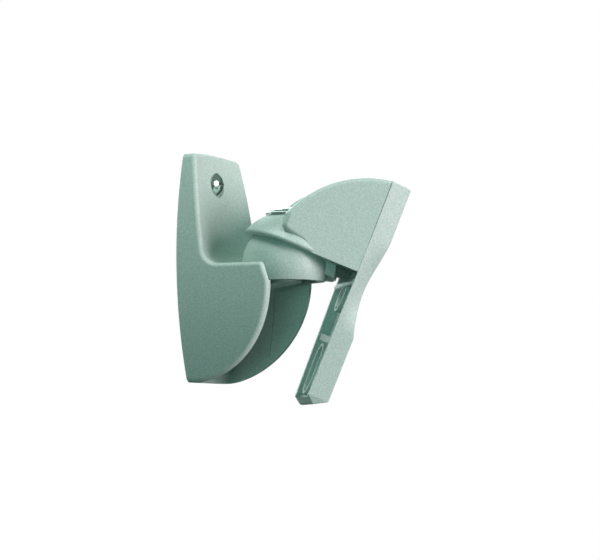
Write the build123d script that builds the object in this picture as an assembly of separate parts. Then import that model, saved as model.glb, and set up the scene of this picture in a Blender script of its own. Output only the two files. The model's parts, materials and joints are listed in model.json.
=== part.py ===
from build123d import *
import math
import os

os.makedirs("parts", exist_ok=True)

# Speaker wall bracket in millimetres. The wall is the plane y = 0, the bracket reaches out to -Y,
# and the origin lies on the back of the wall base, half way up.

# Wall base: shield-shaped plate with a two-cheeked pod
base_height = 100.0
base_top_width = 40.0
base_bottom_width = 32.6
base_widest_rise = 58.0
base_crown = 1.2
base_corner_radius = 3.0
side_draft_deg = 5.9
plate_top_depth = 5.9
plate_lean_deg = 6.9
plate_hollow = 2.1
shelf_rise = 51.2
shelf_fillet = 7.0
pod_reach = 42.4
pod_nose_rise = 43.9
pod_nose_setback = 2.6
pod_nose_radius = 2.0
pod_foot_depth = 4.6
pod_foot_slope_deg = 8.5
cheek_lip = 2.1
cheek_wall = 3.0
back_wall = 4.5
web_thickness = 2.2
base_edge_radius = 1.8
cheek_pad_depth = 24.0
cheek_pad_drop = 29.0
cheek_pad_thickness = 0.4

# Swivel ball, turning on a post that stands on the web
ball_radius = 18.85
ball_setback = 2.5
ball_rise = 50.9
ball_flat_drop = 7.2
ball_wall = 3.4
ball_roof = 9.0
pocket_gap = 0.6
rim_gap = 0.4
post_wall = 2.6
tongue_length = 12.0
tongue_lift = 3.6
ring_thickness = 0.8
seat_gap = 0.1

# Speaker arm: cup, hood and speaker plate, drawn upright about the centre of the ball
swivel_deg = 39.0
tilt_deg = 21.5
tilt_back_deg = 6.0
tilt_down_deg = 27.0
slot_margin_deg = 1.5
cup_gap = 0.3
cup_thickness = 3.9
cup_edge_radius = 1.2
chin_width = 22.0
chin_drop = 5.0
rim_rise = 6.6
hood_flat_depth = 2.25
hood_wall = 3.0
hood_crown_bow = 6.4
hood_nose_reach = -10.0
hood_nose_top = 18.9
hood_nose_rise = 11.8
hood_edge_start = 3.8
hood_edge_back = 0.2
hood_edge_rise = 9.8
hood_nose_radius = 3.0
hood_edge_radius = 2.0
screw_channel_gap = 1.6
screw_channel_reach = 16.0
screw_channel_wall = 2.8

# Speaker plate of the arm
plate_back_reach = 27.4
plate_front_reach = 36.9
plate_top_rise = 49.0
plate_bottom_drop = 53.0
plate_end_width = 33.0
plate_bevel = 3.2
waist_bevel = 8.0
waist_rise = 1.5
waist_relief = 2.9
waist_half_length = 22.0
pad_setback = 2.0
plate_end_chamfer = 3.2
plate_end_setback = 5.9
plate_end_lift = 3.0
plate_end_taper = 1.2
plate_wall = 2.4
plate_web = 2.6
rib_thickness = 3.0
top_bar_rise = 2.2
middle_rib_drop = 21.5
end_wall = 4.3
rib_scoop = 3.0
rib_sag = 2.2
bar_overhang = 0.6
plate_edge_radius = 0.8
slot_width = 5.6
upper_slot_gap = 1.0
upper_slot_length = 6.2
lower_slot_gap = 6.2
slot_end_gap = 3.5
rail_gap = 2.6
rail_width = 1.2
rail_setback = 0.4

# Clamp bolt, washer and thread insert
bolt_radius = 3.0
bolt_clearance = 0.35
thread_clearance = 0.08
bolt_head_radius = 6.6
bolt_head_height = 1.4
bolt_head_rim = 0.4
bolt_thread_length = 10.0
washer_radius = 8.6
washer_thickness = 0.9
washer_gap = 0.3
insert_wall = 1.6

# Wall screws
screw_head_radius = 5.2
screw_head_height = 3.2
screw_head_rim = 0.8
screw_shank_radius = 2.2
screw_thread_radius = 2.4
screw_thread_gap = 0.5
screw_hole_clearance = 0.3
screw_shank_length = 15.0
screw_point_length = 4.0
screw_seat_depth = 4.7
screw_recess_gap = 0.6
upper_screw_rise = 88.0
lower_screw_rise = 24.0
cross_recess_length = 5.2
cross_recess_width = 1.1
cross_recess_depth = 1.8

# Heights, radii and places worked out from the driving sizes
draft = math.tan(math.radians(side_draft_deg))
ball_reach = pod_reach - ball_setback
pocket_radius = ball_radius + pocket_gap
base_widest_width = 2 * (pocket_radius + cheek_lip + ball_reach * draft)
z_bottom = -base_height / 2
z_top = base_height / 2
z_widest = z_bottom + base_widest_rise
z_shelf = z_bottom + shelf_rise
z_nose = z_bottom + pod_nose_rise
z_ball = z_bottom + ball_rise
z_web_top = z_ball - ball_flat_drop - rim_gap
z_web_bottom = z_web_top - web_thickness
z_ceiling = z_ball + ball_radius - ball_roof
z_post_top = z_ceiling - seat_gap - ring_thickness
ball_centre = Location((0, -ball_reach, z_ball))
bolt_hole_radius = bolt_radius + bolt_clearance
insert_radius = bolt_radius + thread_clearance + insert_wall
post_radius = insert_radius + post_wall
cup_inner_radius = ball_radius + cup_gap
cup_outer_radius = cup_inner_radius + cup_thickness
washer_seat_radius = cup_outer_radius + washer_gap
head_seat_radius = washer_seat_radius + washer_thickness
hood_width = 2 * (cup_outer_radius - hood_flat_depth)
screw_channel_width = 2 * (washer_radius + screw_channel_gap)
scoop_half = hood_width / 2 - plate_wall
scoop_radius = (scoop_half**2 + rib_scoop**2) / (2 * rib_scoop)
scoop_reach = scoop_radius - plate_back_reach - rib_scoop
far_reach = 3 * pod_reach
far_width = 2 * base_widest_width


def side_solid(face, width):
    """Extrude a side view drawn in (y, z) evenly to both sides of the middle plane."""
    return extrude(Plane.YZ * face, amount=width / 2, both=True)


def near(sketch, y, z):
    """The corner of a sketch that lies nearest to the point (y, z)."""
    return sketch.vertices().sort_by_distance((y, z, 0))[0]


def base_outline(depth, inset, overrun):
    """Shield outline of the wall base at a depth from the wall, as a face facing the room."""
    shrink = depth * draft + inset
    top = base_top_width / 2 - shrink
    widest = base_widest_width / 2 - shrink
    bottom = base_bottom_width / 2 - shrink
    z_low = z_bottom - overrun
    edges = Curve() + [
        ThreePointArc((-top, z_top), (0, z_top + base_crown), (top, z_top)),
        ThreePointArc((top, z_top), (widest, z_widest), (bottom, z_bottom)),
        Polyline((bottom, z_bottom), (bottom, z_low), (-bottom, z_low), (-bottom, z_bottom))
        if overrun
        else Line((bottom, z_bottom), (-bottom, z_bottom)),
        ThreePointArc((-bottom, z_bottom), (-widest, z_widest), (-top, z_top)),
    ]
    return Plane.XZ.offset(depth) * make_face(edges)


def base_loft(start_depth, end_depth, inset, overrun):
    """Drafted block of the shield outline between two depths."""
    first = base_outline(start_depth, inset, overrun)
    last = base_outline(end_depth, inset, overrun)
    return loft([first, last], ruled=True)


def base_profile():
    """Side view of the wall base: back, pod nose and the round underside of the pod."""
    plate_top = z_top + 2 * base_crown
    nose_slope = pod_nose_setback / (z_shelf - z_nose)
    foot_slope = math.radians(pod_foot_slope_deg)
    top_reach = pod_reach - nose_slope * (plate_top - z_nose)
    outline = Curve() + [
        Polyline(
            (0, z_bottom),
            (0, plate_top),
            (-top_reach, plate_top),
            (-pod_reach, z_nose),
        ),
        TangentArc(
            (-pod_foot_depth, z_bottom),
            (-pod_reach, z_nose),
            tangent=(-math.cos(foot_slope), math.sin(foot_slope)),
        ),
        Line((-pod_foot_depth, z_bottom), (0, z_bottom)),
    ]
    face = make_face(outline)
    return fillet(near(face, -pod_reach, z_nose), 2 * pod_nose_radius)


def plate_front():
    """Space in front of the wall plate: hollow across, leaning back, with a round foot on the shelf."""
    half = base_top_width / 2 - plate_top_depth * draft
    radius = (half**2 + plate_hollow**2) / (2 * plate_hollow)
    lean = math.radians(plate_lean_deg)
    middle = plate_top_depth - plate_hollow + radius / math.cos(lean)
    room = Pos(0, -middle, z_top) * Rot(-plate_lean_deg, 0, 0) * Cylinder(radius, 4 * base_height)
    above = Pos(0, 0, z_shelf + far_reach / 2) * Box(4 * far_reach, 8 * radius, far_reach)
    room = room & above
    foot = room.faces().sort_by(Axis.Z)[0].edges()
    return fillet(foot, shelf_fillet)


def wall_screw_hole(rise, seat_depth):
    """Clearance hole and flat seat for one wall screw."""
    z = z_bottom + rise
    hole = Cylinder(screw_shank_radius + screw_hole_clearance, far_reach, rotation=(90, 0, 0))
    seat = Cylinder(screw_head_radius + screw_recess_gap, far_reach, rotation=(90, 0, 0))
    seat = Pos(0, -seat_depth - far_reach / 2, z) * seat
    return Pos(0, 0, z) * hole + seat


def make_wall_base():
    block = base_loft(0, pod_reach + pod_nose_radius, 0, 0)
    corners = [edge for edge in block.edges() if edge.bounding_box().size.Y > pod_reach / 2]
    block = fillet(corners, base_corner_radius)
    body = block & side_solid(base_profile(), far_width) - plate_front()
    nose_top = pod_nose_setback - pod_reach
    rounded = [
        edge
        for edge in body.edges()
        if edge.bounding_box().max.Y < -base_edge_radius
        and (
            abs(edge.center().X) > cheek_wall
            or edge.center().Z > z_top - base_edge_radius
            or abs(edge.center().Y - nose_top) < base_edge_radius / 2
        )
    ]
    body = fillet(rounded, base_edge_radius)

    # Hollow between the cheeks, open to the front and below, under the web
    below_web = Pos(0, -far_reach / 2, z_web_bottom - far_reach / 2)
    hollow = base_loft(back_wall, 2 * pod_reach, cheek_wall, base_height)
    hollow = hollow & below_web * Box(far_width, far_reach, far_reach)
    pads = base_loft(back_wall, cheek_pad_depth, cheek_wall, base_height)
    pads = pads - base_loft(
        back_wall, 2 * cheek_pad_depth, cheek_wall + cheek_pad_thickness, base_height
    )
    pad_zone = Pos(0, -far_reach / 2, z_web_bottom - cheek_pad_drop / 2)
    pads = pads & pad_zone * Box(far_width, far_reach, cheek_pad_drop)
    body = body - (hollow - pads)

    # Web under the ball, ending in a round tongue that carries the post
    web_end = Pos(0, tongue_length - ball_reach - far_reach / 2, z_web_bottom)
    web_front = base_loft(back_wall, 2 * pod_reach, cheek_wall, base_height)
    web_front = web_front & web_end * Box(far_width, far_reach, 3 * web_thickness)
    tongue = Cylinder(post_radius, web_thickness)
    tongue = tongue + Pos(0, tongue_length / 2, 0) * Box(2 * post_radius, tongue_length, web_thickness)
    body = body - web_front + Pos(0, -ball_reach, z_web_top - web_thickness / 2) * tongue

    # Pocket that the ball turns in, open to the front above the web
    above_web = z_web_top + far_reach / 2
    pocket = Pos(0, -ball_reach, above_web) * Cylinder(pocket_radius, far_reach)
    mouth = Pos(0, -ball_reach - far_reach / 2, above_web)
    body = body - pocket - mouth * Box(2 * pocket_radius, far_reach, far_reach)

    # Post inside the ball, with the hole for the thread insert and an underside that rises to the front
    post_height = z_post_top - z_web_top
    post = Pos(0, -ball_reach, z_web_top + post_height / 2) * Cylinder(post_radius, post_height)
    insert_hole = Pos(0, -ball_reach, z_post_top) * Cylinder(insert_radius, 2 * bolt_thread_length)
    tongue_front = -ball_reach - 2 * post_radius
    underside = Polyline(
        (tongue_length - ball_reach, z_web_bottom),
        (tongue_front, z_web_bottom + tongue_lift),
        (tongue_front, z_web_bottom - web_thickness),
        (tongue_length - ball_reach, z_web_bottom - web_thickness),
        close=True,
    )
    body = body + post - insert_hole - side_solid(make_face(underside), 3 * post_radius)
    body = body - wall_screw_hole(upper_screw_rise, screw_seat_depth)
    return body - wall_screw_hole(lower_screw_rise, back_wall)


def make_swivel_ball():
    size = 4 * ball_radius
    cavity = Sphere(ball_radius - ball_wall)
    cavity = cavity - Pos(0, 0, ball_radius - ball_roof + size / 2) * Box(size, size, size)
    ball = Sphere(ball_radius) - cavity
    ball = ball - Pos(0, 0, -ball_flat_drop - size / 2) * Box(size, size, size)
    return ball_centre * (ball - Cylinder(bolt_hole_radius, size))


def plate_outline(reach, top, waist, pad, end, drop):
    """Front outline of the speaker plate at one reach, as a face in the arm's own upright frame."""
    z_pad = waist_rise - waist_half_length
    z_shoulder = waist_rise + waist_half_length
    corner = plate_end_chamfer
    right = [
        Line((top, plate_top_rise), (top, z_shoulder)),
        Spline(
            (top, z_shoulder),
            (waist, waist_rise),
            (pad, z_pad),
            tangents=((0, -1), ((end - pad), -(drop - corner + z_pad))),
        ),
        Polyline((pad, z_pad), (end, corner - drop), (end - plate_end_taper, -drop)),
    ]
    left = [mirror(edge, about=Plane.YZ) for edge in right]
    caps = [
        Line((-top, plate_top_rise), (top, plate_top_rise)),
        Line((plate_end_taper - end, -drop), (end - plate_end_taper, -drop)),
    ]
    return Plane.XZ.offset(reach) * make_face(Curve() + right + left + caps)


def plate_loft(inset, start_reach, end_reach):
    """Bevelled block between the plate's back outline and its narrower, waisted front outline."""
    half = hood_width / 2
    end = plate_end_width / 2
    depth = plate_front_reach - plate_back_reach
    faces = []
    for reach in (start_reach, end_reach):
        share = (reach - plate_back_reach) / depth
        bevel = plate_bevel * share
        faces.append(
            plate_outline(
                reach,
                half - bevel - inset,
                half - waist_bevel * share - inset,
                half - bevel / 2 - inset - pad_setback,
                end - bevel / 2 - inset,
                plate_bottom_drop - inset,
            )
        )
    return loft(faces, ruled=True)


def plate_profile():
    """Side view of the speaker plate: flat back, relieved front and a lower end sloped to both sides."""
    z_low = -plate_bottom_drop
    z_pad = waist_rise - waist_half_length
    z_shoulder = waist_rise + waist_half_length
    waist_reach = plate_front_reach - waist_relief
    outline = Curve() + [
        Polyline(
            (-plate_front_reach, z_shoulder),
            (-plate_front_reach, plate_top_rise),
            (-plate_back_reach, plate_top_rise),
            (-plate_back_reach, z_low + plate_end_lift),
            (plate_end_setback - plate_front_reach, z_low),
            (-plate_front_reach, z_low + plate_end_chamfer),
            (-plate_front_reach, z_pad),
        ),
        Spline(
            (-plate_front_reach, z_pad),
            (-waist_reach, waist_rise),
            (-plate_front_reach, z_shoulder),
            tangents=((0.35, 1), (-0.1, 1)),
        ),
    ]
    return make_face(outline)


def crown_arc(start, end):
    """Arc of the hood's crown, bowed up and back from the chord between two side-view points."""
    run_y = end[0] - start[0]
    run_z = end[1] - start[1]
    length = math.hypot(run_y, run_z)
    middle_y = (start[0] + end[0]) / 2 + hood_crown_bow * run_z / length
    middle_z = (start[1] + end[1]) / 2 - hood_crown_bow * run_y / length
    return ThreePointArc(start, (middle_y, middle_z), end)


def hood_profile(inset, reach_end):
    """Side view of the hood: crowned top, blunt nose and the flat lower edge in the rim plane."""
    nose = hood_nose_reach + inset
    nose_top = (-nose, hood_nose_top)
    crown_end = (-reach_end, plate_top_rise - inset)
    outline = Curve() + [
        crown_arc(nose_top, crown_end),
        Polyline(
            crown_end,
            (-reach_end, rim_rise),
            (-hood_edge_start, rim_rise),
            (-hood_edge_back, hood_edge_rise),
            (-nose, hood_nose_rise),
            nose_top,
        ),
    ]
    face = make_face(outline)
    if inset:
        return face
    face = fillet(near(face, -nose, hood_nose_top), hood_nose_radius)
    face = fillet(near(face, -hood_edge_back, hood_edge_rise), hood_nose_radius)
    return fillet(near(face, -nose, hood_nose_rise), hood_nose_radius)


def tilt_slot():
    """Slot through the cup that the clamp bolt slides along as the arm tilts."""
    far = 2 * cup_outer_radius
    limits = (-tilt_back_deg - slot_margin_deg, tilt_down_deg + slot_margin_deg)
    ends = [
        Rot(-angle, 0, 0) * Pos(0, 0, far / 2) * Cylinder(bolt_hole_radius, far)
        for angle in limits
    ]
    tips = [
        (far * math.sin(math.radians(angle)), far * math.cos(math.radians(angle)))
        for angle in limits
    ]
    wedge = make_face(Polyline((0, 0), *tips, close=True))
    return ends[0] + ends[1] + side_solid(wedge, 2 * bolt_hole_radius)


def slot_prism(z_high, z_low, margin, start_reach, end_reach):
    """Upright round-ended slot of the speaker plate, grown by a margin all round."""
    length = z_high - z_low + 2 * margin
    shape = Pos(0, (z_high + z_low) / 2) * SlotOverall(length, slot_width + 2 * margin, rotation=90)
    return extrude(Plane.XZ.offset(start_reach) * shape, amount=end_reach - start_reach)


def top_bar(web_back):
    """Straight bar across the back of the plate under the hood, with a round back edge."""
    reach = plate_back_reach - bar_overhang + rib_thickness / 2
    width = hood_width - plate_wall
    bar = Pos(0, -reach, top_bar_rise) * Cylinder(rib_thickness / 2, width, rotation=(0, 90, 0))
    depth = web_back + plate_web / 2 - reach
    bar = bar + Pos(0, -reach - depth / 2, top_bar_rise) * Box(width, depth, rib_thickness)
    return bar & plate_loft(plate_wall / 2, plate_back_reach - rib_thickness, plate_front_reach)


def middle_rib(web_back):
    """Sagging cross rib of the plate, with a hollowed back edge."""
    half = hood_width / 2 - plate_wall
    sag_radius = (half**2 + rib_sag**2) / (2 * rib_sag)
    arch = Cylinder(sag_radius + rib_thickness, far_reach, rotation=(90, 0, 0))
    arch = arch - Cylinder(sag_radius, far_reach, rotation=(90, 0, 0))
    arch = Pos(0, 0, sag_radius + rib_thickness / 2 - middle_rib_drop - rib_sag / 2) * arch
    rib = arch & plate_loft(plate_wall / 2, plate_back_reach, web_back + plate_web / 2)
    return rib - Pos(0, scoop_reach, 0) * Cylinder(scoop_radius, far_reach)


def make_speaker_arm():
    web_back = plate_front_reach - waist_relief - plate_web
    below_rim = Pos(0, 0, rim_rise - far_reach / 2) * Box(far_reach, far_reach, far_reach)
    cup = Sphere(cup_outer_radius) - below_rim
    cup = fillet(cup.edges().filter_by(GeomType.CIRCLE), cup_edge_radius)
    chin = Sphere(cup_outer_radius) & Pos(0, -far_reach / 2, rim_rise) * Box(
        chin_width, far_reach, 2 * chin_drop
    )
    hood = side_solid(hood_profile(0, plate_back_reach), hood_width)
    crown = [
        edge
        for edge in hood.edges()
        if abs(edge.center().X) > hood_width / 3
        and edge.center().Z > rim_rise + hood_edge_radius
        and edge.bounding_box().max.Y > hood_edge_radius - plate_back_reach
    ]
    hood = fillet(crown, hood_edge_radius)
    plate = plate_loft(0, plate_back_reach, plate_front_reach)
    plate = plate & side_solid(plate_profile(), far_width)
    plate = fillet(plate.edges().sort_by(Axis.Z)[0], 2 * plate_edge_radius)
    z_end = plate_end_chamfer - plate_bottom_drop
    front = [
        edge
        for edge in plate.edges()
        if edge.center().Y < -plate_back_reach - plate_edge_radius
        and edge.center().Z > z_end - plate_edge_radius / 2
    ]
    plate = fillet(front, plate_edge_radius)

    # Hollow of the hood behind the web, around the cup and the screw channel
    hollow = side_solid(hood_profile(hood_wall, web_back), hood_width - 2 * hood_wall)
    hollow = hollow - Sphere(cup_outer_radius)
    flank_width = screw_channel_width + 2 * screw_channel_wall
    flank_end = screw_channel_reach + screw_channel_wall
    flank = Pos(0, far_reach / 2 - flank_end, 0) * Box(flank_width, far_reach, far_reach)
    arm = cup + chin + hood + plate - (hollow - flank)

    # Channel along the back of the plate, with a top bar, a middle rib and an end wall
    trough = plate_loft(plate_wall, plate_back_reach - plate_wall, web_back)
    bar_low = top_bar_rise - rib_thickness / 2
    rib_high = rib_thickness / 2 - middle_rib_drop
    rib_low = rib_high - rib_thickness
    floor = end_wall - plate_bottom_drop
    z_high = rim_rise + hood_wall
    slab = Pos(0, 0, (z_high + floor) / 2) * Box(far_width, far_reach, z_high - floor)
    end_scoop = Pos(0, scoop_reach, floor) * Cylinder(scoop_radius, 2 * end_wall)
    arm = arm - (trough & slab) - (trough & end_scoop)

    # Slots for the speaker's screws, each inside a high rail that leaves room for a washer
    upper_high = bar_low - upper_slot_gap
    lower_high = rib_low - lower_slot_gap
    for slot_high, slot_low in (
        (upper_high, upper_high - upper_slot_length),
        (lower_high, floor + slot_end_gap),
    ):
        rail_back = plate_back_reach + rail_setback
        rail = slot_prism(slot_high, slot_low, rail_gap + rail_width, rail_back, web_back + plate_web / 2)
        room = slot_prism(slot_high, slot_low, rail_gap, 0, web_back)
        arm = arm + rail - room - slot_prism(slot_high, slot_low, 0, 0, far_reach)
    arm = arm + top_bar(web_back) + middle_rib(web_back)

    # Ball socket, screw channel above the cup and the slot for the bolt
    channel = Pos(0, far_reach / 2 - screw_channel_reach, far_reach / 2)
    channel = channel * Box(screw_channel_width, far_reach, far_reach) - Sphere(cup_outer_radius)
    arm = arm - channel - Sphere(cup_inner_radius) - tilt_slot()
    return ball_centre * Rot(0, 0, swivel_deg) * Rot(tilt_deg, 0, 0) * arm


def cross_recess(length, width, depth):
    """Cross-shaped driver recess, cut down from z = 0."""
    bars = Box(length, width, 2 * depth) + Box(width, length, 2 * depth)
    core = Cone(width / 4, length / 3, 2 * depth)
    return bars + core


def turned(outline):
    """Solid of revolution about the Z axis from an outline drawn in (radius, height)."""
    return revolve(Plane.XZ * make_face(Curve() + outline), axis=Axis.Z)


def sphere_height(sphere_radius, radius):
    """Height of a sphere about the origin at a distance from the Z axis."""
    return math.sqrt(sphere_radius**2 - radius**2)


def make_clamp_washer():
    inner = washer_seat_radius
    outer = head_seat_radius
    low = bolt_hole_radius
    middle = (low + washer_radius) / 2
    arcs = [
        ThreePointArc(
            (low, sphere_height(radius, low)),
            (middle, sphere_height(radius, middle)),
            (washer_radius, sphere_height(radius, washer_radius)),
        )
        for radius in (inner, outer)
    ]
    sides = [
        Line((r, sphere_height(inner, r)), (r, sphere_height(outer, r)))
        for r in (low, washer_radius)
    ]
    return ball_centre * turned(arcs + sides)


def make_clamp_bolt():
    tip = z_post_top - bolt_thread_length - z_ball
    seat = head_seat_radius
    middle = (bolt_radius + bolt_head_radius) / 2
    rim_low = sphere_height(seat, bolt_head_radius)
    rim_high = rim_low + bolt_head_rim
    apex = seat + bolt_head_height
    outline = [
        Polyline((0, apex), (0, tip), (bolt_radius, tip), (bolt_radius, sphere_height(seat, bolt_radius))),
        ThreePointArc(
            (bolt_radius, sphere_height(seat, bolt_radius)),
            (middle, sphere_height(seat, middle)),
            (bolt_head_radius, rim_low),
        ),
        Line((bolt_head_radius, rim_low), (bolt_head_radius, rim_high)),
        TangentArc((0, apex), (bolt_head_radius, rim_high), tangent=(1, 0)),
    ]
    recess = cross_recess(cross_recess_length, cross_recess_width, cross_recess_depth)
    return ball_centre * (turned(outline) - Pos(0, 0, apex) * recess)


def make_thread_insert():
    sleeve = Cylinder(insert_radius, bolt_thread_length)
    sleeve = sleeve - Cylinder(bolt_radius + thread_clearance, 2 * bolt_thread_length)
    return Pos(0, -ball_reach, z_post_top - bolt_thread_length / 2) * sleeve


def make_friction_ring():
    ring = Cylinder(post_radius, ring_thickness)
    ring = ring - Cylinder(bolt_hole_radius, 2 * ring_thickness)
    return Pos(0, -ball_reach, z_post_top + ring_thickness / 2) * ring


def make_wall_screw(rise, seat_depth):
    straight = screw_point_length - screw_shank_length
    thread_start = -seat_depth - screw_thread_gap
    outline = [
        Polyline(
            (0, screw_head_height),
            (0, -screw_shank_length),
            (screw_thread_radius, straight),
            (screw_thread_radius, thread_start),
            (screw_shank_radius, thread_start),
            (screw_shank_radius, 0),
            (screw_head_radius, 0),
            (screw_head_radius, screw_head_rim),
        ),
        TangentArc((0, screw_head_height), (screw_head_radius, screw_head_rim), tangent=(1, 0)),
    ]
    recess = cross_recess(cross_recess_length, cross_recess_width, cross_recess_depth)
    screw = turned(outline) - Pos(0, 0, screw_head_height) * recess
    return Pos(0, -seat_depth, z_bottom + rise) * Rot(90, 0, 0) * screw


pieces = {
    "wall_base": make_wall_base(),
    "swivel_ball": make_swivel_ball(),
    "speaker_arm": make_speaker_arm(),
    "clamp_washer": make_clamp_washer(),
    "clamp_bolt": make_clamp_bolt(),
    "thread_insert": make_thread_insert(),
    "friction_ring": make_friction_ring(),
    "upper_wall_screw": make_wall_screw(upper_screw_rise, screw_seat_depth),
    "lower_wall_screw": make_wall_screw(lower_screw_rise, back_wall),
}

for name, piece in pieces.items():
    export_step(piece, f"parts/{name}.step")
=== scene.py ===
# %% [markdown]
# # A speaker wall bracket
#
# The bracket has two silver-grey mouldings, a base for the wall and an arm for the loudspeaker, with a
# clamped ball between them. Their shapes were drawn as solids, so this lesson does not model them again.
# It loads the solids, gives each one a finish, adds the fine detail and sets up a small photo studio.

# %% Load the solids
import json
import math

import bpy
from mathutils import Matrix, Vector


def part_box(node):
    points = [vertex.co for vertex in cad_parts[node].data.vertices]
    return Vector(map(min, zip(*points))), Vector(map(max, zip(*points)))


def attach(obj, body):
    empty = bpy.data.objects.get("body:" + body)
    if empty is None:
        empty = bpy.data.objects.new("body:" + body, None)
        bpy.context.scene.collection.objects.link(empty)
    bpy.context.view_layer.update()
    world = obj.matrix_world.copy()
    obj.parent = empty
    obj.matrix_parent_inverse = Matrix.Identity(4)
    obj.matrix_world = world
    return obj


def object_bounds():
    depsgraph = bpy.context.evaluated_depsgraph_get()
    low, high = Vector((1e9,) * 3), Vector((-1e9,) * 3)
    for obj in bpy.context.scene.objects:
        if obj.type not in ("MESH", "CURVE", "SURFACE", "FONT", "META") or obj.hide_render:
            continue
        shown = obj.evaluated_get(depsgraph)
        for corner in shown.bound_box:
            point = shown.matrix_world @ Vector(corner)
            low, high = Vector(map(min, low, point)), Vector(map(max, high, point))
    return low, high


MM = 0.001

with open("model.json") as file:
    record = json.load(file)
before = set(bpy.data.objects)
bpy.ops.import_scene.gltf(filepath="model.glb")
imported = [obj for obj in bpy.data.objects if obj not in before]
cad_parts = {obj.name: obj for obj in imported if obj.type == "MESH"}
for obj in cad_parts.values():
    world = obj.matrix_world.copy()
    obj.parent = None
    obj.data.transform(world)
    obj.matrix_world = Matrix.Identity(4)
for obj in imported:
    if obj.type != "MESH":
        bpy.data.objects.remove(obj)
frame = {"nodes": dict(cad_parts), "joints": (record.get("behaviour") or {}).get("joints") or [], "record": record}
solid_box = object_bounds()
nodes = frame["nodes"]
print("solids:", ", ".join(sorted(nodes)))

# %% [markdown]
# ## The camera
#
# The photograph was taken with a long lens, a little below the bracket and well round to its left side.
# The camera is set first, because every later choice is judged through it. The aim point lies in the
# middle of the bracket, and the lens shift puts it at the place it has in the photograph.

# %% Set the camera
PHOTO_WIDTH = 600
PHOTO_HEIGHT = 560
VIEW_AZIMUTH = math.radians(-60.96)
VIEW_ELEVATION = math.radians(-4.29)
VIEW_DISTANCE = 1.001
FOCAL_PIXELS = 2293
SENSOR_WIDTH = 36
FAR_CLIP = 50
AIM = Vector((0, -0.035, 0))
AIM_PIXEL_X = 275.46
AIM_PIXEL_Y = 267.71

camera_data = bpy.data.cameras.new("studio_camera")
camera_data.sensor_fit = "HORIZONTAL"
camera_data.sensor_width = SENSOR_WIDTH
camera_data.lens = SENSOR_WIDTH * FOCAL_PIXELS / PHOTO_WIDTH
camera_data.shift_x = (PHOTO_WIDTH / 2 - AIM_PIXEL_X) / PHOTO_WIDTH
camera_data.shift_y = (AIM_PIXEL_Y - PHOTO_HEIGHT / 2) / PHOTO_WIDTH
camera_data.clip_end = FAR_CLIP

back = Vector(
    (
        math.sin(VIEW_AZIMUTH) * math.cos(VIEW_ELEVATION),
        -math.cos(VIEW_AZIMUTH) * math.cos(VIEW_ELEVATION),
        math.sin(VIEW_ELEVATION),
    )
)
camera = bpy.data.objects.new("studio_camera", camera_data)
camera.location = AIM + VIEW_DISTANCE * back
camera.rotation_euler = back.to_track_quat("Z", "Y").to_euler()
bpy.context.scene.collection.objects.link(camera)
bpy.context.scene.camera = camera
print("lens", round(camera_data.lens, 1), "mm, camera at", tuple(round(v, 3) for v in camera.location))

# %% [markdown]
# ## The floor
#
# The photograph is a cut-out on plain white, so nothing may show round the bracket. A floor that is only
# lit would turn grey in the distance. This one gives the camera plain white and gives the bracket a dim
# grey, because the undersides in the photograph are dark and get almost no light from below.

# %% Build the floor
def mix_by(tree, mask, first, second):
    """Add a mix of two shaders that a mask steers."""
    mix = tree.nodes.new("ShaderNodeMixShader")
    tree.links.new(mask, mix.inputs["Fac"])
    tree.links.new(first, mix.inputs[1])
    tree.links.new(second, mix.inputs[2])
    return mix.outputs["Shader"]


WHITE = (1, 1, 1, 1)
FLOOR_DROP = 0.12
FLOOR_SIZE = 12.0
FLOOR_GREY = (0.06, 0.08, 0.075, 1)
FLOOR_ROUGHNESS = 0.9

floor_level = solid_box[0][2] - FLOOR_DROP
bpy.ops.mesh.primitive_plane_add(size=FLOOR_SIZE, location=(0, 0, 0))
floor = bpy.context.object
floor.name = "studio_floor"
for vertex in floor.data.vertices:
    vertex.co.z = floor_level
floor_finish = bpy.data.materials.new("floor_finish")
floor_finish.use_nodes = True
tree = floor_finish.node_tree
floor_shader = tree.nodes["Principled BSDF"]
floor_shader.inputs["Base Color"].default_value = FLOOR_GREY
floor_shader.inputs["Roughness"].default_value = FLOOR_ROUGHNESS
glow = tree.nodes.new("ShaderNodeEmission")
glow.inputs["Color"].default_value = WHITE
path = tree.nodes.new("ShaderNodeLightPath").outputs
whole = mix_by(tree, path["Is Camera Ray"], floor_shader.outputs["BSDF"], glow.outputs["Emission"])
tree.links.new(whole, tree.nodes["Material Output"].inputs["Surface"])
floor.data.materials.append(floor_finish)
print("floor at", round(floor_level, 3), "m")

# %% [markdown]
# ## The lights
#
# The tones of the photograph tell where its lights stood. The wall plate and the edge of the speaker plate
# are bright, so the key light stood out in the room, straight in front of the wall and a little above. The
# cup is bright on top, so a weaker light hung overhead. The cheek of the base faces neither of them and is
# dim and green, so a green light stands at its side. The back of the speaker plate has bright glancing
# edges, which only a pale backdrop behind the bracket can give. Large round area lights keep the shadows
# soft. The side light is kept out of reflections, because the chrome would show it as a green spot.

# %% Set the lights
def soft_light(name, colour, direction, distance, size, power):
    """Round softbox that faces the bracket from a direction."""
    data = bpy.data.lights.new(name, "AREA")
    data.shape = "DISK"
    data.size = size
    data.energy = power
    data.color = colour
    light = bpy.data.objects.new(name, data)
    towards = Vector(direction).normalized()
    light.location = AIM + distance * towards
    light.rotation_euler = towards.to_track_quat("Z", "Y").to_euler()
    bpy.context.scene.collection.objects.link(light)
    return light


KEY_COLOUR = (1.0, 0.925, 0.945)
TOP_COLOUR = (0.9, 1.0, 0.95)
SIDE_COLOUR = (0.52, 1.0, 0.88)
BACKDROP_COLOUR = (0.85, 1.0, 0.97)

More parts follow.
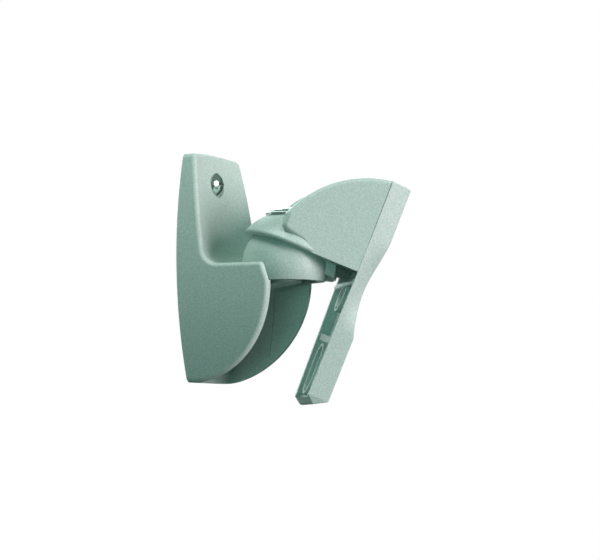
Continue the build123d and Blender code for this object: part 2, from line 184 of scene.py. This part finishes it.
key = soft_light(
    "key_softbox", KEY_COLOUR, direction=(0.05, -1.0, 0.16), distance=1.4, size=0.85, power=18.3
)
top = soft_light(
    "top_softbox", TOP_COLOUR, direction=(-0.4, 0.1, 1.0), distance=1.3, size=0.7, power=9.5
)
side = soft_light(
    "side_softbox", SIDE_COLOUR, direction=(-1.0, -0.3, 0.0), distance=1.8, size=0.9, power=7.5
)
side.visible_glossy = False
backdrop = soft_light(
    "backdrop_glow", BACKDROP_COLOUR, direction=(0.6, 0.8, 0.1), distance=1.5, size=3.6, power=55
)
print("lights:", ", ".join(light.name for light in (key, top, side, backdrop)))

# %% [markdown]
# ## The background
#
# The camera has to see plain white round the bracket, but a bracket that is lit by a white room has no dark
# side. So the world is split by the kind of ray. The camera gets white. The mouldings get a very weak
# blue-green fill, which only tints their deepest shadows. Reflections get a stronger pale green, because
# chrome that has nothing to mirror looks black. The plain view transform keeps the white pure.

# %% Light the background
def background(tree, colour, strength):
    """Add a background of one colour."""
    node = tree.nodes.new("ShaderNodeBackground")
    node.inputs["Color"].default_value = colour
    node.inputs["Strength"].default_value = strength
    return node.outputs["Background"]


FILL_COLOUR = (0.32, 1.0, 0.80, 1)
FILL_STRENGTH = 0.03
MIRRORED_COLOUR = (0.6, 1.0, 0.85, 1)
MIRRORED_STRENGTH = 0.2

world = bpy.data.worlds.new("studio_world")
bpy.context.scene.world = world
world.use_nodes = True
tree = world.node_tree
tree.nodes.clear()
seen = background(tree, WHITE, 1)
fill = background(tree, FILL_COLOUR, FILL_STRENGTH)
mirrored = background(tree, MIRRORED_COLOUR, MIRRORED_STRENGTH)
path = tree.nodes.new("ShaderNodeLightPath").outputs
surround = mix_by(tree, path["Is Glossy Ray"], fill, mirrored)
whole = mix_by(tree, path["Is Camera Ray"], surround, seen)
output = tree.nodes.new("ShaderNodeOutputWorld")
tree.links.new(whole, output.inputs["Surface"])
bpy.context.scene.view_settings.view_transform = "Standard"
print("world fill", FILL_STRENGTH, "and mirrored surround", MIRRORED_STRENGTH)

# %% [markdown]
# ## Parts of a finish group
#
# Every finish on the bracket has two tones and two degrees of gloss, and a fine pattern that chooses
# between them. That could be drawn as images, but noise on the solid's own coordinates needs no unwrapping
# and keeps its scale on every piece. The helpers here make what all finish groups share: the named sockets,
# the noise, and the choice of tone and gloss.

# %% Define the parts of a finish group
def finish_group(name, first_tone, second_tone):
    """Start a finish group with two tones and two degrees of gloss as inputs."""
    group = bpy.data.node_groups.new(name, "ShaderNodeTree")
    for socket, direction, kind in (
        (first_tone, "INPUT", "NodeSocketColor"),
        (second_tone, "INPUT", "NodeSocketColor"),
        ("Smooth", "INPUT", "NodeSocketFloat"),
        ("Rough", "INPUT", "NodeSocketFloat"),
        ("Colour", "OUTPUT", "NodeSocketColor"),
        ("Roughness", "OUTPUT", "NodeSocketFloat"),
        ("Height", "OUTPUT", "NodeSocketFloat"),
    ):
        group.interface.new_socket(name=socket, in_out=direction, socket_type=kind)
    return group


def noise(tree, coordinates, scale, detail):
    """Add a noise texture on given coordinates."""
    node = tree.nodes.new("ShaderNodeTexNoise")
    node.inputs["Scale"].default_value = scale
    node.inputs["Detail"].default_value = detail
    tree.links.new(coordinates, node.inputs["Vector"])
    return node.outputs["Fac"]


def spread(tree, value, low, high):
    """Spread the range from low to high over the whole range from 0 to 1."""
    node = tree.nodes.new("ShaderNodeMapRange")
    node.inputs["From Min"].default_value = low
    node.inputs["From Max"].default_value = high
    tree.links.new(value, node.inputs["Value"])
    return node.outputs["Result"]


def tone_and_gloss(group, mask, tones, gloss, height):
    """Let a mask choose tone and gloss, and put them out beside a height."""
    inside = group.nodes.new("NodeGroupInput").outputs
    outside = group.nodes.new("NodeGroupOutput").inputs
    tint = group.nodes.new("ShaderNodeMix")
    tint.data_type = "RGBA"
    group.links.new(mask, tint.inputs["Factor"])
    group.links.new(inside[tones[0]], tint.inputs["A"])
    group.links.new(inside[tones[1]], tint.inputs["B"])
    shine = group.nodes.new("ShaderNodeMapRange")
    group.links.new(mask, shine.inputs["Value"])
    group.links.new(inside[gloss[0]], shine.inputs["To Min"])
    group.links.new(inside[gloss[1]], shine.inputs["To Max"])
    group.links.new(tint.outputs["Result"], outside["Colour"])
    group.links.new(shine.outputs["Result"], outside["Roughness"])
    group.links.new(height, outside["Height"])


print("finish helpers are ready")

# %% [markdown]
# ## The speckled silver finish
#
# The mouldings are silver-grey with a fine, even speckle, like paint with small metal flakes in it. Two
# noises are added: a coarse one for the soft mottle and a fine one for the flakes. Their sum stays close to
# its middle, so it is spread out before it chooses the tone. A light flake is also the smoother one. The
# ball, the base and the arm all use this finish, so it is a node group with its own inputs.

# %% Make the speckle group
MOTTLE_SCALE = 1500
FLAKE_SCALE = 3000
SPECKLE_LOW = 0.75
SPECKLE_HIGH = 1.25

speckle = finish_group("speckled_silver", "Dark", "Light")
place = speckle.nodes.new("ShaderNodeTexCoord").outputs["Object"]
mottle = noise(speckle, place, MOTTLE_SCALE, detail=2)
flake = noise(speckle, place, FLAKE_SCALE, detail=1)
blend = speckle.nodes.new("ShaderNodeMath")
blend.operation = "ADD"
speckle.links.new(mottle, blend.inputs[0])
speckle.links.new(flake, blend.inputs[1])
sharp = spread(speckle, blend.outputs["Value"], SPECKLE_LOW, SPECKLE_HIGH)
tone_and_gloss(speckle, sharp, tones=("Dark", "Light"), gloss=("Rough", "Smooth"), height=sharp)
print("speckle group sockets:", len(speckle.interface.items_tree))

# %% [markdown]
# ## The silver mouldings
#
# The base, the arm and the ball are moulded plastic in one colour with a satin finish. The arm and the ball
# have a little more gloss than the base, as their tighter highlights in the photograph show. Each gets a
# material of its own that places the speckle group with its own gloss. The bump is very weak: the flakes
# lie in the finish and hardly stand out of it.

# %% Make the silver finishes
def finish_material(name, group, tones, smooth, rough, bump, depth):
    """Material that places a finish group with its own tones, gloss and relief."""
    material = bpy.data.materials.new(name)
    material.use_nodes = True
    tree = material.node_tree
    shader = tree.nodes["Principled BSDF"]
    placed = tree.nodes.new("ShaderNodeGroup")
    placed.node_tree = group
    for socket, tone in tones.items():
        placed.inputs[socket].default_value = (*tone, 1)
    placed.inputs["Smooth"].default_value = smooth
    placed.inputs["Rough"].default_value = rough
    relief = tree.nodes.new("ShaderNodeBump")
    relief.inputs["Strength"].default_value = bump
    relief.inputs["Distance"].default_value = depth
    tree.links.new(placed.outputs["Height"], relief.inputs["Height"])
    tree.links.new(relief.outputs["Normal"], shader.inputs["Normal"])
    tree.links.new(placed.outputs["Colour"], shader.inputs["Base Color"])
    tree.links.new(placed.outputs["Roughness"], shader.inputs["Roughness"])
    return material


def silver_finish(name, dark, light, smooth, rough, bump):
    """Speckled moulding material with its own tones and gloss."""
    tones = {"Dark": dark, "Light": light}
    material = finish_material(name, speckle, tones, smooth, rough, bump, FLAKE_DEPTH)
    shader = material.node_tree.nodes["Principled BSDF"]
    shader.inputs["Specular IOR Level"].default_value = SATIN_SPECULAR
    return material


def cover(node, material):
    """Give a solid one finish all over."""
    data = nodes[node].data
    data.materials.clear()
    data.materials.append(material)


FLAKE_DEPTH = 0.05 * MM
SATIN_SPECULAR = 0.4
SILVER_DARK = (0.47, 0.585, 0.54)
SILVER_LIGHT = (0.63, 0.76, 0.71)

base_silver = silver_finish("base_silver", SILVER_DARK, SILVER_LIGHT, smooth=0.42, rough=0.6, bump=0.3)
arm_silver = silver_finish("arm_silver", SILVER_DARK, SILVER_LIGHT, smooth=0.32, rough=0.5, bump=0.25)
ball_silver = silver_finish("ball_silver", SILVER_DARK, SILVER_LIGHT, smooth=0.34, rough=0.5, bump=0.15)
cover("wall_base", base_silver)
cover("speaker_arm", arm_silver)
cover("swivel_ball", ball_silver)
print("silver finishes:", base_silver.name, arm_silver.name, ball_silver.name)

# %% [markdown]
# ## The friction ring
#
# A thin ring lies between the top of the post and the roof of the ball, and keeps the swivel from
# slipping. It is out of sight in use. Plain off-white nylon is milky and a little uneven, so the same
# speckle group serves it with two close tones and no bump to speak of.

# %% Make the ring finish
NYLON_DARK = (0.70, 0.68, 0.62)
NYLON_LIGHT = (0.80, 0.79, 0.74)
ring_nylon = silver_finish("ring_nylon", NYLON_DARK, NYLON_LIGHT, smooth=0.45, rough=0.6, bump=0.05)
cover("friction_ring", ring_nylon)
print("ring finish on", nodes["friction_ring"].name)

# %% [markdown]
# ## Marks on bright metal
#
# The screws, the clamp bolt and its washer are plated bright, and the sleeve in the post is turned brass.
# A perfect mirror looks like a hole in the picture. Real plating has faint streaks from handling and
# polishing, so noise stretched along one axis changes the tone, the gloss and the height by a little. Both
# metals use it, so it is a second node group.

# %% Make the handling marks group
MARK_SCALE = 900
MARK_STRETCH = (1, 1, 0.25)
MARK_LOW = 0.4
MARK_HIGH = 0.7

marks = finish_group("handling_marks", "Clean", "Dull")
place = marks.nodes.new("ShaderNodeTexCoord").outputs["Object"]
stretch = marks.nodes.new("ShaderNodeMapping")
stretch.inputs["Scale"].default_value = MARK_STRETCH
marks.links.new(place, stretch.inputs["Vector"])
streak = noise(marks, stretch.outputs["Vector"], MARK_SCALE, detail=3)
wear = spread(marks, streak, MARK_LOW, MARK_HIGH)
tone_and_gloss(marks, wear, tones=("Clean", "Dull"), gloss=("Smooth", "Rough"), height=streak)
print("marks group sockets:", len(marks.interface.items_tree))

# %% [markdown]
# ## The metal finishes
#
# The plating is nearly white and very smooth, so the head of the wall screw shows the lights as small
# hard shapes. The brass of the sleeve is yellower and duller, as it comes off the lathe. Metallic is set
# on the shader itself, since it is the same all over.

# %% Make the metal finishes
def metal_finish(name, clean, dull, smooth, rough, bump):
    """Bright metal with faint handling marks."""
    tones = {"Clean": clean, "Dull": dull}
    material = finish_material(name, marks, tones, smooth, rough, bump, MARK_DEPTH)
    shader = material.node_tree.nodes["Principled BSDF"]
    shader.inputs["Metallic"].default_value = 1
    return material


MARK_DEPTH = 0.02 * MM
PLATING_CLEAN = (0.86, 0.9, 0.88)
PLATING_DULL = (0.74, 0.79, 0.77)
BRASS_CLEAN = (0.78, 0.58, 0.26)
BRASS_DULL = (0.6, 0.42, 0.18)

plating = metal_finish("bright_plating", PLATING_CLEAN, PLATING_DULL, smooth=0.12, rough=0.2, bump=0.1)
for node in ("clamp_bolt", "clamp_washer", "upper_wall_screw", "lower_wall_screw"):
    cover(node, plating)
brass = metal_finish("insert_brass", BRASS_CLEAN, BRASS_DULL, smooth=0.25, rough=0.4, bump=0.2)
cover("thread_insert", brass)
print("metal finishes:", plating.name, brass.name)

# %% [markdown]
# ## The screw threads
#
# Behind the wall line both wall screws carry a thread. The solids have a plain cylinder and a plain cone
# there, as a drawing would show them. A thread is one ridge that follows a helix, so it could be modelled
# by hand turn by turn, but Geometry Nodes make it from a rule: a small diamond swept along a spiral, a
# second spiral that narrows along the point, and the pair copied to both screws. The places come from the
# boxes of the screw solids, so the threads follow the frame.

# %% Measure the threads
def thread_start(node):
    """Place on a screw's axis where its thread starts."""
    low, high = (Vector(corner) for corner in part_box(node))
    middle = (low + high) / 2
    return Vector((middle.x, high.y - SCREW_POINT_LENGTH - THREAD_LENGTH, middle.z))


SCREW_POINT_LENGTH = 4 * MM
THREAD_LENGTH = 5.4 * MM

lower = thread_start("lower_wall_screw")
step = thread_start("upper_wall_screw") - lower
thread_sizes = {
    "First Screw": tuple(lower),
    "Screw Step": tuple(step),
    "Thread Radius": 2.4 * MM,
    "Thread Length": THREAD_LENGTH,
    "Thread Turns": 3.0,
    "Tip Radius": 0.3 * MM,
    "Point Length": 3.5 * MM,
    "Point Turns": 2.0,
    "Ridge Size": 0.45 * MM,
}
print("threads at", [tuple(round(v, 4) for v in lower), tuple(round(v, 4) for v in lower + step)])

# %% [markdown]
# ## The inputs of the thread tree
#
# A tree with named inputs can be used again for a screw of another size. Each size becomes one input, and
# its identifier is kept, because a modifier knows its inputs by identifier and not by name.

# %% Start the thread tree
def start_tree(name, sizes):
    """Start a geometry tree with one named input for each size."""
    tree = bpy.data.node_groups.new(name, "GeometryNodeTree")
    identifiers = {}
    for label, value in sizes.items():
        kind = "NodeSocketFloat" if isinstance(value, float) else "NodeSocketVector"
        socket = tree.interface.new_socket(name=label, in_out="INPUT", socket_type=kind)
        socket.default_value = value
        identifiers[label] = socket.identifier
    tree.interface.new_socket(name="Geometry", in_out="OUTPUT", socket_type="NodeSocketGeometry")
    return tree, identifiers


thread_tree, thread_inputs = start_tree("screw_thread", thread_sizes)
print("thread tree inputs:", ", ".join(thread_inputs))

# %% [markdown]
# ## The ridges of one screw
#
# The straight helix starts at the origin and the narrowing one sits on its end. Together they are turned
# from upright to pointing into the wall, because the screws lie along that axis.

# %% Sweep the two helices
def sweep(tree, path, profile):
    """Add a closed mesh that follows a path with a profile."""
    node = tree.nodes.new("GeometryNodeCurveToMesh")
    node.inputs["Fill Caps"].default_value = True
    tree.links.new(path, node.inputs["Curve"])
    tree.links.new(profile, node.inputs["Profile Curve"])
    return node


def swept_helix(tree, start, end, height, turns, profile):
    """Add a spiral between two radii with a ridge swept along it."""
    spiral = tree.nodes.new("GeometryNodeCurveSpiral")
    spiral.inputs["Resolution"].default_value = HELIX_STEPS
    tree.links.new(start, spiral.inputs["Start Radius"])
    tree.links.new(end, spiral.inputs["End Radius"])
    tree.links.new(height, spiral.inputs["Height"])
    tree.links.new(turns, spiral.inputs["Rotations"])
    upright = tree.nodes.new("GeometryNodeSetCurveNormal")
    upright.mode = "Z_UP"
    tree.links.new(spiral.outputs["Curve"], upright.inputs["Curve"])
    return sweep(tree, upright.outputs["Curve"], profile).outputs["Mesh"]


HELIX_STEPS = 32
DIAMOND_CORNERS = 4

given = thread_tree.nodes.new("NodeGroupInput").outputs
diamond = thread_tree.nodes.new("GeometryNodeCurvePrimitiveCircle")
diamond.inputs["Resolution"].default_value = DIAMOND_CORNERS
thread_tree.links.new(given["Ridge Size"], diamond.inputs["Radius"])
shank_ridge = swept_helix(
    thread_tree,
    start=given["Thread Radius"],
    end=given["Thread Radius"],
    height=given["Thread Length"],
    turns=given["Thread Turns"],
    profile=diamond.outputs["Curve"],
)
point_ridge = swept_helix(
    thread_tree,
    start=given["Thread Radius"],
    end=given["Tip Radius"],
    height=given["Point Length"],
    turns=given["Point Turns"],
    profile=diamond.outputs["Curve"],
)
shank_end = thread_tree.nodes.new("ShaderNodeCombineXYZ")
thread_tree.links.new(given["Thread Length"], shank_end.inputs["Z"])
lift = thread_tree.nodes.new("GeometryNodeTransform")
thread_tree.links.new(point_ridge, lift.inputs["Geometry"])
thread_tree.links.new(shank_end.outputs["Vector"], lift.inputs["Translation"])
both = thread_tree.nodes.new("GeometryNodeJoinGeometry")
thread_tree.links.new(shank_ridge, both.inputs["Geometry"])
thread_tree.links.new(lift.outputs["Geometry"], both.inputs["Geometry"])
lay = thread_tree.nodes.new("GeometryNodeTransform")
lay.inputs["Rotation"].default_value = (-math.pi / 2, 0, 0)
thread_tree.links.new(both.outputs["Geometry"], lay.inputs["Geometry"])
print("ridge nodes so far:", len(thread_tree.nodes))

# %% [markdown]
# ## Both screws
#
# A line of two points stands for the two screws, and an instance of the ridges goes on each. Realize
# Instances turns them into real mesh, which the export needs, and Set Material gives them the plating.

# %% Copy the ridges to both screws
def close_tree(tree, points, shape, material):
    """End a tree in real copies of a shape on some points, in one finish."""
    copies = tree.nodes.new("GeometryNodeInstanceOnPoints")
    tree.links.new(points, copies.inputs["Points"])
    tree.links.new(shape, copies.inputs["Instance"])
    real = tree.nodes.new("GeometryNodeRealizeInstances")
    tree.links.new(copies.outputs["Instances"], real.inputs["Geometry"])
    finish = tree.nodes.new("GeometryNodeSetMaterial")
    finish.inputs["Material"].default_value = material
    tree.links.new(real.outputs["Geometry"], finish.inputs["Geometry"])
    result = tree.nodes.new("NodeGroupOutput")
    tree.links.new(finish.outputs["Geometry"], result.inputs["Geometry"])


SCREW_COUNT = 2

spots = thread_tree.nodes.new("GeometryNodeMeshLine")
spots.inputs["Count"].default_value = SCREW_COUNT
thread_tree.links.new(given["First Screw"], spots.inputs["Start Location"])
thread_tree.links.new(given["Screw Step"], spots.inputs["Offset"])
close_tree(thread_tree, spots.outputs["Mesh"], lay.outputs["Geometry"], plating)
print("thread tree nodes:", len(thread_tree.nodes))

# %% [markdown]
# ## A plain mesh for the threads
#
# The evaluated result becomes a mesh of its own at the origin, and the object with the modifier goes. The
# threads belong to the screws, so they ride with the base that the screws hold to the wall.

# %% Make the threads a plain mesh
def plain_piece(name, tree, identifiers, sizes):
    """Evaluate a geometry tree with given sizes and keep the result as a plain mesh."""
    source = bpy.data.objects.new(name + "_source", bpy.data.meshes.new(name + "_source"))
    bpy.context.scene.collection.objects.link(source)
    modifier = source.modifiers.new("tree", "NODES")
    modifier.node_group = tree
    for label, value in sizes.items():
        modifier[identifiers[label]] = value
    depsgraph = bpy.context.evaluated_depsgraph_get()
    mesh = bpy.data.meshes.new_from_object(source.evaluated_get(depsgraph))
    mesh.name = name
    bpy.data.objects.remove(source)
    piece = bpy.data.objects.new(name, mesh)
    bpy.context.scene.collection.objects.link(piece)
    return piece


threads = plain_piece("wall_screw_threads", thread_tree, thread_inputs, thread_sizes)
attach(threads, "base")
print("threads:", len(threads.data.polygons), "faces")

# %% [markdown]
# ## The painted shadow of the hood seam
#
# A fine dark line runs down each side of the arm, where the hood meets the edge of the speaker plate. On
# the real moulding it is probably a groove, and the dark line is the shadow it holds, strongest at the top and
# gone at the rim. The groove is finer than anything in the solids, so its shadow is painted on here as a thin
# dark strip, sunk in the corner.
# The corner is found from the frame: the tilt joint gives the middle of the ball and the direction across
# the arm, and the speaker pad gives the direction to the front.

# %% Find the corners of the hood
ARM_HALF_WIDTH = 20.8 * MM
SEAM_REACH = 27.4 * MM
SEAM_TOP_RISE = 47.8 * MM
SEAM_FOOT_RISE = 7.5 * MM
SEAM_SINK = 0.2 * MM

tilt = next(joint for joint in frame["joints"] if joint["name"] == "arm_tilt")
pad = next(mount for mount in frame["record"]["mounts"] if mount["name"] == "speaker_pad")
across = Vector(tilt["axis"])
front = Vector(pad["axis"])
up = front.cross(across)
seam_offset = ARM_HALF_WIDTH - SEAM_SINK
hood_corner = Vector(tilt["pos_m"]) + SEAM_REACH * front - seam_offset * across
seam_sizes = {
    "Seam Top": tuple(hood_corner + SEAM_TOP_RISE * up),
    "Seam Foot": tuple(hood_corner + SEAM_FOOT_RISE * up),
    "To Other Side": tuple(2 * seam_offset * across),
    "Top Radius": 0.3 * MM,
    "Foot Radius": 0.21 * MM,
}
print("seam from the top at", tuple(round(v, 4) for v in seam_sizes["Seam Top"]))

# %% [markdown]
# ## One side of the seam shadow
#
# One side is a straight line with a small circle swept along it. The place along the line is mapped to the
# scale of the circle, so the painted shadow gets thinner towards its foot and sinks out of sight there.

# %% Sweep one side of the seam
SEAM_CORNERS = 12

seam_tree, seam_inputs = start_tree("hood_seam", seam_sizes)
given = seam_tree.nodes.new("NodeGroupInput").outputs
line = seam_tree.nodes.new("GeometryNodeCurvePrimitiveLine")
seam_tree.links.new(given["Seam Top"], line.inputs["Start"])
seam_tree.links.new(given["Seam Foot"], line.inputs["End"])
along = seam_tree.nodes.new("GeometryNodeSplineParameter")
taper = seam_tree.nodes.new("ShaderNodeMapRange")
seam_tree.links.new(along.outputs["Factor"], taper.inputs["Value"])
seam_tree.links.new(given["Top Radius"], taper.inputs["To Min"])
seam_tree.links.new(given["Foot Radius"], taper.inputs["To Max"])
circle = seam_tree.nodes.new("GeometryNodeCurvePrimitiveCircle")
circle.inputs["Resolution"].default_value = SEAM_CORNERS
circle.inputs["Radius"].default_value = 1
# This swept strip is the painted shadow that the seam groove holds, not a real inlay.
seam_shadow_strip = sweep(seam_tree, line.outputs["Curve"], circle.outputs["Curve"])
seam_tree.links.new(taper.outputs["Result"], seam_shadow_strip.inputs["Scale"])
print("seam tree inputs:", ", ".join(seam_inputs))

# %% [markdown]
# ## The seam shadow on both sides
#
# The tree ends as the thread tree does: a line of two points, one for each side of the arm, takes a copy
# on each. The finish is the speckled silver again in shadow tones, so the strip is a painted shadow. The seam
# is part of the arm, so its painted shadow rides with the arm when the bracket tilts.

# %% Lay the seam on both sides
ARM_SIDES = 2
# Tones of the painted seam shadow.
SEAM_SHADOW_DARK = (0.19, 0.26, 0.235)
SEAM_SHADOW_LIGHT = (0.28, 0.36, 0.33)

seam_shade = silver_finish("seam_shade", SEAM_SHADOW_DARK, SEAM_SHADOW_LIGHT, smooth=0.6, rough=0.8, bump=0.1)
sides = seam_tree.nodes.new("GeometryNodeMeshLine")
sides.inputs["Count"].default_value = ARM_SIDES
seam_tree.links.new(given["To Other Side"], sides.inputs["Offset"])
close_tree(seam_tree, sides.outputs["Mesh"], seam_shadow_strip.outputs["Mesh"], seam_shade)
seam_shadows = plain_piece("hood_seam_shadows", seam_tree, seam_inputs, seam_sizes)
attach(seam_shadows, "arm")
print("seams:", len(seam_shadows.data.polygons), "faces")
